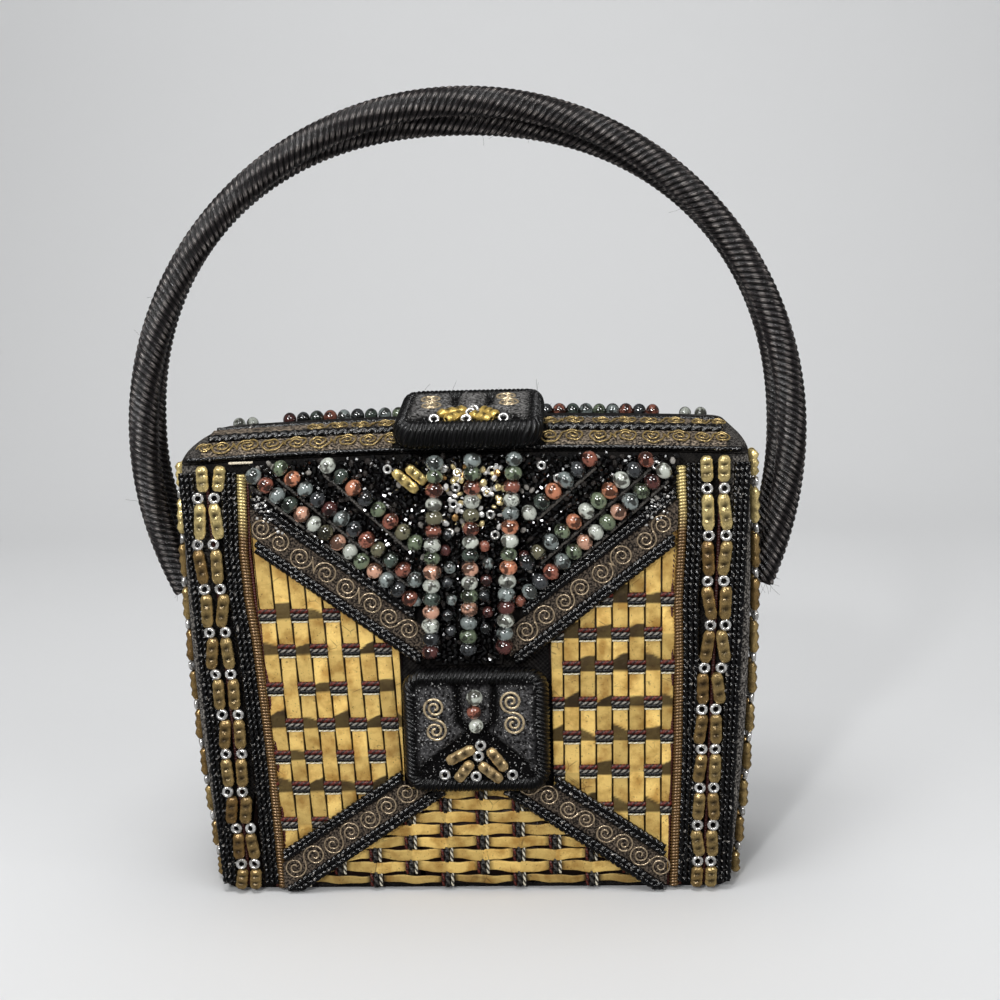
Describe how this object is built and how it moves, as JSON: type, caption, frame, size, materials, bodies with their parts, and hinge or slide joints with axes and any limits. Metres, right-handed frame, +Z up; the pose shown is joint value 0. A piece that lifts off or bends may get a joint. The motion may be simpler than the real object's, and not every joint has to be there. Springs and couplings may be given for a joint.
{
  "type": "beaded box handbag",
  "caption": "Small hollow box evening bag with a hinged domed lid, stiff cord-wound handles, and a front of woven brass strips, scroll ribbons and strung beads.",
  "frame": {"origin": "middle of the flat base, on the surface the bag stands on", "axes": "+Z up, +X to the right of a person facing the front, +Y to the back, so the front faces -Y"},
  "size_m": [0.1823, 0.0615, 0.2099],
  "materials": {
    "cloth": "matt black cloth",
    "cord": "satin black twisted cord",
    "brass_strip": "satin, tarnished brass strip",
    "bullion": "dull coiled gold wire",
    "scroll_ribbon": "napped ribbon with couched gold wire",
    "suede": "dark grey napped suede",
    "round_bead": "polished opaque",
    "tube_bead": "antique brass",
    "seed_bead": "glossy black seed beads"
  },
  "bodies": {
    "box": {"body_shell": "cloth", "weave_left": "brass_strip", "weave_right": "brass_strip", "weave_bottom": "brass_strip", "bead_ground": "seed_bead", "ribbon_upper_left": "scroll_ribbon", "ribbon_upper_right": "scroll_ribbon", "ribbon_lower_left": "scroll_ribbon", "ribbon_lower_right": "scroll_ribbon", "cord_upper_left_over": "cord", "cord_upper_left_under": "cord", "cord_upper_right_over": "cord", "cord_upper_right_under": "cord", "cord_lower_left_over": "cord", "cord_lower_left_under": "cord", "cord_lower_right_over": "cord", "cord_lower_right_under": "cord", "bullion_left": "bullion", "bullion_right": "bullion", "braid_left_inner": "cord", "braid_left_outer": "cord", "braid_right_inner": "cord", "braid_right_outer": "cord", "tube_string_left_1": "tube_bead", "tube_string_left_2": "tube_bead", "tube_string_right_1": "tube_bead", "tube_string_right_2": "tube_bead", "side_string_left_1": "tube_bead", "side_string_left_2": "tube_bead", "side_string_left_3": "tube_bead", "side_string_left_4": "tube_bead", "side_string_right_1": "tube_bead", "side_string_right_2": "tube_bead", "side_string_right_3": "tube_bead", "side_string_right_4": "tube_bead", "front_pad_binding": "cord", "front_pad_panel": "suede", "bead_string_1": "round_bead", "bead_string_2": "round_bead", "bead_string_3": "round_bead", "fan_string_left_1": "round_bead", "fan_string_left_2": "round_bead", "fan_string_left_3": "round_bead", "fan_string_right_1": "round_bead", "fan_string_right_2": "round_bead", "fan_string_right_3": "round_bead", "handle_front": "cord", "handle_back": "cord"},
    "lid": {"lid_shell": "cloth", "tab_binding": "cord", "tab_panel": "suede", "lid_ribbon_front_left": "scroll_ribbon", "lid_ribbon_front_right": "scroll_ribbon", "lid_ribbon_rear_left": "scroll_ribbon", "lid_ribbon_rear_right": "scroll_ribbon", "lid_braid_left": "cord", "lid_braid_right": "cord", "lid_bead_row_left": "round_bead", "lid_bead_row_right": "round_bead"}
  },
  "joints": [
    {"name": "lid_hinge", "type": "hinge", "parent": "box", "child": "lid", "pos_m": [0, 0.0273, 0.11515], "axis": [-1, 0, 0], "range_deg": [0, 45]}
  ]
}
